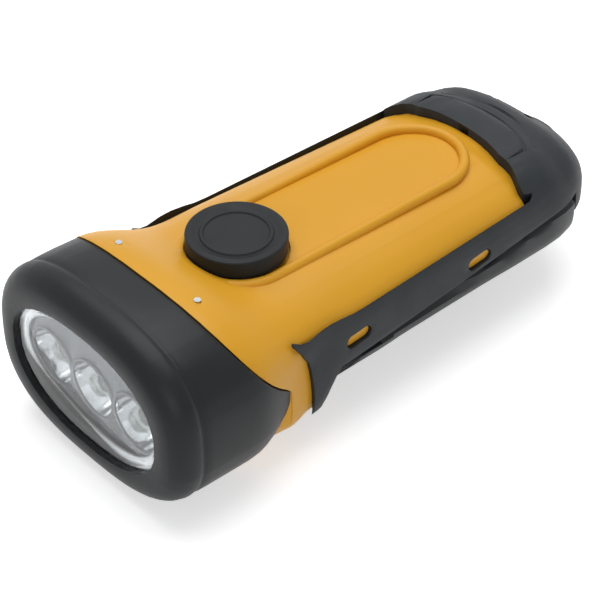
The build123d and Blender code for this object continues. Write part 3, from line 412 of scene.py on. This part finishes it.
def roundingFactor(x, z, d, inset):
    # how far a point of the flat-sided section goes out to the true oval
    half, rise, drop, upper, lower = bodySizes(d)
    height, exponent = (rise, upper) if z >= axisHeight else (drop, lower)
    across = abs(x) / (half - inset)
    upward = abs(z - axisHeight) / (height - inset)
    if across + upward < formSettings["middleShare"]:
        return 1.0
    oval = (across ** exponent + upward ** exponent) ** (-1 / exponent)
    corners = sectionCorners(exponent)
    for (x1, z1), (x2, z2) in zip(corners, corners[1:]):
        if x2 * upward <= z2 * across + 1e-9:
            side = (x1 * (z2 - z1) - z1 * (x2 - x1)) / (across * (z2 - z1) - upward * (x2 - x1))
            return min(max(oval / side, 1.0), formSettings["mostGrowth"])
    return 1.0


def cutFan(piece, count):
    # planes through the middle line, so that the flat sides get points to round them with
    editing(piece)
    for index in range(count):
        angle = math.pi * (index + 0.5) / count
        normal = (math.sin(angle), 0, -math.cos(angle))
        bpy.ops.mesh.select_all(action="SELECT")
        bpy.ops.mesh.bisect(plane_co=(0, 0, axisHeight * mm), plane_no=normal)
    doneEditing()


def cutAcross(piece, distances):
    editing(piece)
    for distance in distances:
        bpy.ops.mesh.select_all(action="SELECT")
        bpy.ops.mesh.bisect(plane_co=(0, along(distance) * mm, 0), plane_no=(0, 1, 0))
    doneEditing()


def reshape(piece, form, inset):
    for vertex in piece.data.vertices:
        x, y, z = (value / mm for value in vertex.co)
        d = y + halfLength
        factor = roundingFactor(x, z, d, inset)
        x, d, z = form(x * factor, d, axisHeight + (z - axisHeight) * factor)
        vertex.co = (x * mm, along(d) * mm, z * mm)


# what the photo shows beyond the frame's plain form; a pair is where a change fades in or out
gripSettings = {
    "gripStart": 46.0, "upperFade": (21.5, 24.5), "lugReach": 0.2,
    "openingHalf": 22.9, "openingTaper": 0.04, "openingMiddle": 60.0, "openingAbove": 23.0,
    "edgeOut": 0.85, "edgeDrop": 0.85, "slideFrom": 15.0,
    "deckExponent": 2.4, "deckSpread": 0.7, "deckFade": (27.0, 42.0), "bumperProud": 0.9,
    "railFrom": (30.0, 36.0), "railTo": (99.0, 106.0), "railHeight": 13.0,
    "endMove": 4.8, "endFrom": 97.6, "endTo": 104.5,
    "crestRise": 2.0, "crestFrom": (110.0, 116.5), "crestTo": (119.5, 123.0),
    "frontRise": 2.2, "frontFrom": (34.0, 39.0), "frontTo": (41.0, 50.0),
    "cornerRise": 0.6, "cornerFrom": (56.0, 64.0), "cornerTo": (86.0, 97.0),
    "lowFade": (10.0, 17.0), "sideFade": (13.0, 24.0),
    "flareDrop": 5.2, "flareOut": 0.9, "flareFrom": (25.0, 34.0), "flareFade": (14.0, 22.0),
    "flareAhead": 25.0, "sweepRadius": 38.8, "sweepFade": 5.0, "crankDistance": 75.0,
    "seamDrop": 0.5, "seamIn": 0.9, "seamSide": 18.0, "seamBelow": 0.4, "seamReach": 0.6,
    "seamFront": (-3.4, 0.0883, 45.0), "seamRear": (-0.75, 0.1017, 75.0),
}


def upperShare(z):
    return ease(z, *gripSettings["upperFade"])


def openingEdge(d):
    return gripSettings["openingHalf"] - gripSettings["openingTaper"] * (d - gripSettings["openingMiddle"])


def gripOuter(d):
    return bodySizes(min(d, formSettings["tailStart"]))[0] + gripSettings["bumperProud"]


def edgeShare(x, d):
    # 1 at the edge of the opening, falling off to both sides
    edge = openingEdge(d)
    start = gripSettings["slideFrom"]
    side = abs(x)
    if side <= start:
        return 0.0
    if side <= edge:
        return ((side - start) / (edge - start)) ** 2
    return max(gripOuter(d) - side, 0.0) / (gripOuter(d) - edge)


def circleThrough(first, second, third):
    (ax, ay), (bx, by), (cx, cy) = first, second, third
    area = 2 * (ax * (by - cy) + bx * (cy - ay) + cx * (ay - by))
    a2 = ax * ax + ay * ay
    b2 = bx * bx + by * by
    c2 = cx * cx + cy * cy
    x = (a2 * (by - cy) + b2 * (cy - ay) + c2 * (ay - by)) / area
    y = (a2 * (cx - bx) + b2 * (ax - cx) + c2 * (bx - ax)) / area
    return x, y, math.hypot(ax - x, ay - y)


# the rear end of the frame's opening: an arc at each corner and one across the middle
rearSettings = {
    "end": 106.5,
    "corner": 7.5,
    "turnShare": 0.56,
    "turnBack": 1.5,
    "cornerShare": 0.88,
    "slack": 0.3,
    "reach": 0.5,
}
shoulder = rearSettings["end"] - rearSettings["corner"]
shoulderHalf = openingEdge(shoulder)
shoulderPoint = (shoulderHalf, shoulder)
bendPoint = (shoulderHalf * rearSettings["cornerShare"],
             shoulder + rearSettings["corner"] * rearSettings["turnShare"])
turnPoint = (shoulderHalf * rearSettings["turnShare"], rearSettings["end"] - rearSettings["turnBack"])
cornerCircle = circleThrough(shoulderPoint, bendPoint, turnPoint)
rearCircle = circleThrough(turnPoint, (0, rearSettings["end"]), (-turnPoint[0], turnPoint[1]))


def onRearWall(x, d):
    # whether a point is on the rear wall of the frame's opening
    if d < shoulder - rearSettings["slack"]:
        return False
    centreX, centreD, radius = rearCircle if abs(x) < turnPoint[0] else cornerCircle
    return abs(math.hypot(abs(x) - centreX, d - centreD) - radius) < rearSettings["reach"]


def endShift(d):
    return gripSettings["endMove"] * ease(d, gripSettings["endFrom"], gripSettings["endTo"])


def lowerForm(x, d, z):
    # rounder corners under the grip, and the flare of the neck outside the crank's sweep
    values = gripSettings
    low = 1 - ease(z, *values["lowFade"])
    side = ease(abs(x), *values["sideFade"])
    cornerStart = ease(d, *values["cornerFrom"])
    cornerEnd = 1 - ease(d, *values["cornerTo"])
    z += values["cornerRise"] * side * low * cornerStart * cornerEnd
    radius = math.hypot(x, d - values["crankDistance"])
    sweepEnd = values["sweepRadius"] + values["sweepFade"]
    flare = ease(radius, values["sweepRadius"], sweepEnd) * ease(d, *values["flareFrom"])
    below = 1 - ease(z, *values["flareFade"])
    if d < values["crankDistance"] - values["flareAhead"]:
        z -= values["flareDrop"] * flare * side * below
        x += math.copysign(values["flareOut"] * flare * side * below, x)
    return x, d, z


def deckForm(x, d, z):
    values = gripSettings
    if abs(x) > openingEdge(d) + values["lugReach"] and d > values["gripStart"]:
        return railForm(x, d, z)  # the lugs in the bumper's windows
    grip = ease(d, *values["deckFade"]) * upperShare(z)
    moved = x + math.copysign(values["edgeOut"] * edgeShare(x, d) * grip, x)
    half, rise = bodySizes(min(d, formSettings["tailStart"]))[:2]
    old = surfaceHeight(x, half, rise, formSettings["gripExponent"])
    new = surfaceHeight(moved, gripOuter(d) + values["deckSpread"], rise, values["deckExponent"])
    z += (new - old) * grip
    if z > values["openingAbove"]:
        d -= endShift(d)
    return lowerForm(moved, d, z)


def railForm(x, d, z):
    values = gripSettings
    share = edgeShare(x, d) * upperShare(z) * ease(d, *values["railFrom"]) * (1 - ease(d, *values["railTo"]))
    x += math.copysign(values["edgeOut"] * share, x)
    z -= values["edgeDrop"] * share
    height = max(z - axisHeight, 0.0) / values["railHeight"]
    crest = ease(d, *values["crestFrom"]) * (1 - ease(d, *values["crestTo"]))
    front = ease(d, *values["frontFrom"]) * (1 - ease(d, *values["frontTo"]))
    z += (values["crestRise"] * crest + values["frontRise"] * front) * height
    if z > values["openingAbove"] and onRearWall(x, d):
        d -= endShift(d)
    return lowerForm(x, d, z)


def seamHeight(d):
    # two straight runs, each a height at its start and a slope
    rear = gripSettings["seamRear"]
    height, slope, start = gripSettings["seamFront"] if d < rear[2] else rear
    return axisHeight + (height + slope * (d - start))


def baseForm(x, d, z):
    # the upper edge is drawn in, so that the seam below the bumper is a broad groove
    values = gripSettings
    offSeam = abs(seamHeight(d) - values["seamBelow"] - z)
    if d > values["gripStart"] and abs(x) > values["seamSide"] and offSeam < values["seamReach"]:
        x -= math.copysign(values["seamIn"], x)
        z -= values["seamDrop"]
    return lowerForm(x, d, z)


headSettings = {
    "roundDepth": 5.5,
    "roundWidth": 4.7,
    "snapTo": 13.6,
    "skin": (0.955, 1.05),
    "stepMm": 0.3,
    "stepPlace": 6.6,
    "stepWidth": 0.6,
    "stepRadius": 24.0,
}


def headForm(x, d, z):
    # the front is set on its true rounding, and a shallow step runs round the head behind it
    values = headSettings
    half, rise = bodySizes(0)[:2]
    exponent = formSettings["headExponent"]
    depth = max(values["roundDepth"] - d, 0) / values["roundDepth"]
    inset = values["roundWidth"] * (1 - math.sqrt(max(1 - depth * depth, 0)))
    across = abs(x) / (half - inset)
    upward = abs(z - axisHeight) / (rise - inset)
    share = (across ** exponent + upward ** exponent) ** (1 / exponent)
    if d < values["snapTo"] and values["skin"][0] < share < values["skin"][1]:
        step = values["stepMm"] * math.exp(-((d - values["stepPlace"]) / values["stepWidth"]) ** 2)
        factor = (1 - step / values["stepRadius"]) / share
        x *= factor
        z = axisHeight + (z - axisHeight) * factor
    return x, d, z


# cuts are distances behind the lip; inset is how far inside the body's oval the piece's skin lies
shellSettings = {
    "headShell": {
        "node": "head_shell", "body": "torch", "slot": "black_shell", "material": blackAbs,
        "form": headForm, "inset": 0.0, "edge": 0.35, "smooth": 40,
        "cuts": [0.5, 1.4, 2.6, 4.4, 5.8, 6.2, 6.6, 7.0, 7.4, 9, 12, 15, 18],
    },
    "yellowHousing": {
        "node": "main_housing", "body": "torch", "slot": "yellow_shell", "material": yellowAbs,
        "form": deckForm, "inset": 0.0, "edge": 0.3, "smooth": 50,
        "cuts": list(range(40, 110, 3)),
    },
    "sideBumper": {
        "node": "side_bumper", "body": "torch", "slot": "black_rubber", "material": bumperRubber,
        "form": railForm, "inset": -0.9, "edge": 0.35, "smooth": 35,
        "cuts": list(range(33, 126, 3)),
    },
    "baseCover": {
        "node": "base_cover", "body": "torch", "slot": "black_shell", "material": blackAbs,
        "form": baseForm, "inset": -0.9, "edge": 0.3, "smooth": 35,
        "cuts": list(range(38, 114, 3)),
    },
}
for pieceName, values in shellSettings.items():
    shell = copyOfNode(values["node"], pieceName)
    softenEdges(shell, values["edge"])
    cutFan(shell, formSettings["fanCuts"])
    cutAcross(shell, values["cuts"])
    reshape(shell, values["form"], values["inset"])
    smoothFaces(shell, values["smooth"])
    settle(shell, values["material"], values["body"], values["slot"], values["node"])
    print(pieceName, len(shell.data.polygons), "faces")

crankSettings = {
    "crankArm": {"node": "crank_arm", "edge": 0.3, "body": "crank"},
    "knobGrip": {"node": "knob_grip", "edge": 0.2, "body": "knob"},
}
for pieceName, values in crankSettings.items():
    piece = copyOfNode(values["node"], pieceName)
    softenEdges(piece, values["edge"])
    smoothFaces(piece)
    settle(piece, blackAbs, values["body"], "black_plastic", values["node"])
print("shells made")

reflectorSettings = {
    "edge": 0.2,
    "front": 3.7,
    "facing": 0.95,
    "frontReach": 0.1,
    "rimHalf": (21.0, 12.7),
    "rimExponent": 2.3,
    "rimWidth": 1.3,
    "rimDepth": 0.6,
    "rimPlace": 3.05,
    "ringRadius": 0.02,
    "ringTube": 0.001,
    "ringSegments": (120, 14),
    "cupPitch": 13.2,
    "cupHeight": 18.8,
    "cupRadius": 6.5,
    "cupRim": 0.45,
    "cupSegments": (72, 10),
    "ringSmooth": 60,
}

reflectorShell = copyOfNode("reflector", "reflectorShell")
softenEdges(reflectorShell, reflectorSettings["edge"])
smoothFaces(reflectorShell)
settle(reflectorShell, bareMirror, "torch", "bright_reflector", "reflector")
reflectorShell.data.materials.append(dimpledMirror)
for face in reflectorShell.data.polygons:
    offFront = abs(face.center.y / mm - along(reflectorSettings["front"]))
    if face.normal.y < -reflectorSettings["facing"] and offFront < reflectorSettings["frontReach"]:
        face.material_index = 1

# a plain ring, whose points are then set round the window's oval
bpy.ops.mesh.primitive_torus_add(
    major_segments=reflectorSettings["ringSegments"][0], minor_segments=reflectorSettings["ringSegments"][1],
    major_radius=reflectorSettings["ringRadius"], minor_radius=reflectorSettings["ringTube"])
brightRim = bpy.context.active_object
brightRim.name = "brightRim"
rimPower = 2 / reflectorSettings["rimExponent"]
rimHalfX, rimHalfZ = reflectorSettings["rimHalf"]
for vertex in brightRim.data.vertices:
    turn = math.atan2(vertex.co.y, vertex.co.x)
    fromTube = math.hypot(vertex.co.x, vertex.co.y) - reflectorSettings["ringRadius"]
    outward = fromTube / mm * reflectorSettings["rimWidth"]
    ringX = (rimHalfX + outward) * math.copysign(abs(math.cos(turn)) ** rimPower, math.cos(turn))
    ringZ = (rimHalfZ + outward) * math.copysign(abs(math.sin(turn)) ** rimPower, math.sin(turn))
    depth = vertex.co.z / mm * reflectorSettings["rimDepth"]
    ringY = along(reflectorSettings["rimPlace"]) - depth
    vertex.co = (ringX * mm, ringY * mm, (axisHeight + ringZ) * mm)
editing(brightRim)
bpy.ops.mesh.select_all(action="SELECT")
bpy.ops.mesh.normals_make_consistent(inside=False)
doneEditing()
smoothFaces(brightRim, reflectorSettings["ringSmooth"])
settle(brightRim, satinMirror, "torch", "bright_reflector")

for side, cupName in zip((-1, 0, 1), ("leftCupRim", "middleCupRim", "rightCupRim")):
    bpy.ops.mesh.primitive_torus_add(
        major_segments=reflectorSettings["cupSegments"][0],
        minor_segments=reflectorSettings["cupSegments"][1],
        major_radius=reflectorSettings["cupRadius"] * mm, minor_radius=reflectorSettings["cupRim"] * mm,
        rotation=(math.radians(90), 0, 0),
        location=(side * reflectorSettings["cupPitch"] * mm, along(reflectorSettings["front"]) * mm,
                  reflectorSettings["cupHeight"] * mm))
    cupRim = bpy.context.active_object
    cupRim.name = cupName
    bpy.ops.object.transform_apply(location=True, rotation=True, scale=True)
    smoothFaces(cupRim, reflectorSettings["ringSmooth"])
    settle(cupRim, dimpledMirror, "torch", "bright_reflector")
print("reflector made")

windowSettings = {
    "rimMm": 2.0,
    "crownMm": 0.8,
    "crownRingMm": 0.5,
    "thinnerMm": 1.3,
    "edgeMm": 0.25,
    "edgeDegrees": 20,
    "edgeSegments": 3,
    "smooth": 40,
}

# crowned in front, and thinner from behind to make room for the rims
window = copyOfNode("lens_window", "lensWindow")
pickFaces(window, lambda face: face.normal.y < -facingLimit)
bpy.ops.mesh.inset(thickness=windowSettings["rimMm"] * mm)
bpy.ops.transform.translate(value=(0, -windowSettings["crownMm"] * mm, 0))
bpy.ops.mesh.inset(thickness=windowSettings["crownRingMm"] * mm)
doneEditing()
pickFaces(window, lambda face: face.normal.y > facingLimit)
bpy.ops.transform.translate(value=(0, -windowSettings["thinnerMm"] * mm, 0))
doneEditing()
softenEdges(window, windowSettings["edgeMm"], windowSettings["edgeDegrees"], windowSettings["edgeSegments"])
smoothFaces(window, windowSettings["smooth"])
settle(window, clearWindow, "torch", "clear_window", "lens_window")
print("window made")

# each step of the top is an inset and then a rise, from the rim inwards
buttonSettings = {
    "distance": 39.2,
    "radius": 10.2,
    "sides": 96,
    "bottom": 34.4,
    "top": 38.4,
    "topSteps": [(1.3, 0), (0.55, -0.35), (0.9, 0), (0.25, 0.28), (0.55, 0), (0.25, -0.28), (2.6, -0.25)],
    "wallMm": 1.5,
    "hollowMm": 2.1,
    "stemInsetMm": 6.1,
    "stemMm": 4.8,
    "edgeMm": 0.35,
    "edgeDegrees": 50,
    "edgeSegments": 3,
    "smooth": 35,
}

buttonMiddle = (buttonSettings["top"] + buttonSettings["bottom"]) / 2
bpy.ops.mesh.primitive_cylinder_add(
    vertices=buttonSettings["sides"], radius=buttonSettings["radius"] * mm,
    depth=(buttonSettings["top"] - buttonSettings["bottom"]) * mm,
    location=(0, along(buttonSettings["distance"]) * mm, buttonMiddle * mm))
button = bpy.context.active_object
button.name = "pushButton"
bpy.ops.object.transform_apply(location=True, rotation=True, scale=True)
pickFaces(button, lambda face: face.normal.z > facingLimit)
for inset, rise in buttonSettings["topSteps"]:
    bpy.ops.mesh.inset(thickness=inset * mm)
    if rise:
        bpy.ops.transform.translate(value=(0, 0, rise * mm))
doneEditing()
# underneath it is hollow, with a stem that reaches down to the switch
pickFaces(button, lambda face: face.normal.z < -facingLimit)
bpy.ops.mesh.inset(thickness=buttonSettings["wallMm"] * mm)
bpy.ops.mesh.extrude_region_move(TRANSFORM_OT_translate={"value": (0, 0, buttonSettings["hollowMm"] * mm)})
bpy.ops.mesh.inset(thickness=buttonSettings["stemInsetMm"] * mm)
bpy.ops.mesh.extrude_region_move(TRANSFORM_OT_translate={"value": (0, 0, -buttonSettings["stemMm"] * mm)})
doneEditing()
softenEdges(button, buttonSettings["edgeMm"], buttonSettings["edgeDegrees"], buttonSettings["edgeSegments"])
smoothFaces(button, buttonSettings["smooth"])
settle(button, buttonSilicone, "button", "black_rubber", "power_button")
print("button made")

# size in metres
floorSettings = {"size": 4.0, "colour": "#F7F7F8", "roughness": 0.9, "lift": 0.55}

bpy.ops.mesh.primitive_plane_add(size=floorSettings["size"], location=(0, 0, 0))
floor = bpy.context.active_object
floor.name = "studioFloor"


def seenRays(tree):
    # 1 for what the camera sees, straight or in metal and glass
    rays = addNode(tree, "ShaderNodeLightPath")
    straight = addNode(tree, "ShaderNodeMath", {"operation": "MAXIMUM"})
    tree.links.new(rays.outputs["Is Camera Ray"], straight.inputs[0])
    tree.links.new(rays.outputs["Is Transmission Ray"], straight.inputs[1])
    either = addNode(tree, "ShaderNodeMath", {"operation": "MAXIMUM"})
    tree.links.new(straight.outputs[0], either.inputs[0])
    tree.links.new(rays.outputs["Is Glossy Ray"], either.inputs[1])
    return either.outputs[0]


# matte paper: the camera sees it lifted to white, and it keeps the torch's shadow
paperWhite, paperTree, paperSurface = newMaterial("paperWhite")[:3]
setSurface(paperSurface, Base_Color=linearColour(floorSettings["colour"]),
           Roughness=floorSettings["roughness"], Emission_Color=(1, 1, 1, 1))
lift = addMapRange(paperTree, seenRays(paperTree), 0.0, floorSettings["lift"])
paperTree.links.new(lift, paperSurface.inputs["Emission Strength"])
floor.data.materials.append(paperWhite)

# the world lights the torch softly, and is white wherever the camera sees it
worldSettings = {"light": 0.27, "seen": 1.0}

world = bpy.context.scene.world or bpy.data.worlds.new("studioWorld")
bpy.context.scene.world = world
world.use_nodes = True
worldTree = world.node_tree
worldTree.nodes.clear()
strength = addMapRange(worldTree, seenRays(worldTree), worldSettings["light"], worldSettings["seen"])
background = addNode(worldTree, "ShaderNodeBackground", {"Color": (1, 1, 1, 1)}, {"Strength": strength})
addNode(worldTree, "ShaderNodeOutputWorld", links={"Surface": background.outputs["Background"]})

# places, targets and sizes in metres
lampSettings = {
    "skySoftbox": {"place": (-0.15, 0.1, 0.75), "target": (0, 0, 0.02), "size": 0.7, "power": 4.6},
    "sideSoftbox": {"place": (0.6, -0.5, 0.35), "target": (0, -0.03, 0.02), "size": 0.4, "power": 0.8},
}
for lampName, values in lampSettings.items():
    aim = Vector(values["target"]) - Vector(values["place"])
    turned = aim.to_track_quat("-Z", "Y").to_euler()
    bpy.ops.object.light_add(type="AREA", location=values["place"], rotation=turned)
    softbox = bpy.context.active_object
    softbox.name = lampName
    softbox.data.shape = "SQUARE"
    softbox.data.size = values["size"]
    softbox.data.energy = values["power"]
bpy.context.scene.view_settings.view_transform = "Standard"
print("stage and lights set")
